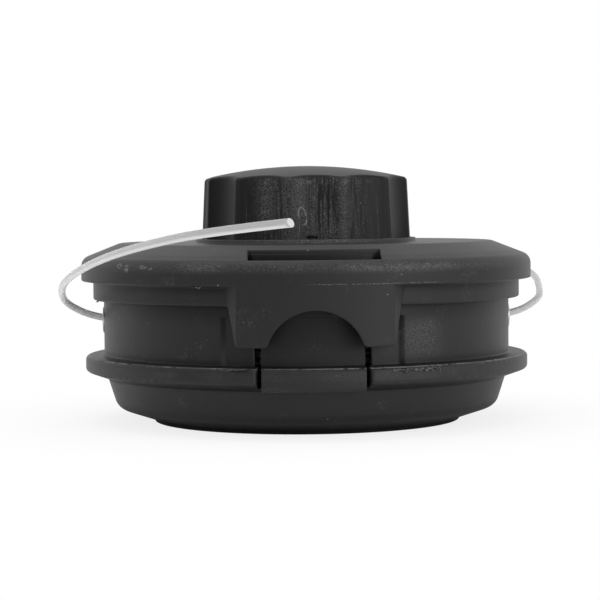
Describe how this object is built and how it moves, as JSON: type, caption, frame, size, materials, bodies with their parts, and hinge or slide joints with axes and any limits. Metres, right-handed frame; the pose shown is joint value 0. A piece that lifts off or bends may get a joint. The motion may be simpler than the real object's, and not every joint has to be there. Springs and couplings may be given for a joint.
{
  "type": "bump feed trimmer head",
  "caption": "Round bump feed trimmer head with a fluted bump knob, a latched cover, a sprung line spool, metal line eyelets and a threaded drive insert.",
  "frame": {"origin": "on the turning axis, in the plane of the foot ring that the head stands on", "axes": "+Z along the turning axis from the drive thread to the bump knob, -Y towards one latch tab, +X towards one line eyelet"},
  "size_m": [0.1452, 0.3038, 0.0733],
  "materials": {
    "housing_plastic": "worn black moulded nylon",
    "cover_plastic": "worn black moulded nylon with pale scuffs on the rim",
    "knob_plastic": "scuffed black moulded nylon",
    "spool_plastic": "moulded nylon",
    "line_nylon": "clear drawn nylon line",
    "insert_steel": "turned zinc plated steel",
    "eyelet_metal": "turned, polished by the line",
    "spring_steel": "oiled spring steel"
  },
  "bodies": {
    "head": {"housing": "housing_plastic", "threaded_insert": "insert_steel", "eyelet_left": "eyelet_metal", "eyelet_right": "eyelet_metal", "spring_seat_washer": "spring_steel", "spring": "spring_steel", "cover": "cover_plastic", "line_left": "line_nylon", "line_right": "line_nylon"},
    "thrust": {"thrust_washer": "spring_steel"},
    "spool": {"spool": "spool_plastic", "winding_lower": "line_nylon", "winding_upper": "line_nylon", "bump_knob": "knob_plastic"}
  },
  "joints": [
    {"name": "bump", "type": "slide", "parent": "head", "child": "thrust", "axis": [0, 0, -1], "range_m": [0, 0.006], "stiffness_N_per_m": 1500, "springref_m": -0.012, "deforming": ["spring"]},
    {"name": "feed", "type": "hinge", "parent": "thrust", "child": "spool", "pos_m": [0, 0, 0.03], "axis": [0, 0, 1], "continuous": true}
  ]
}
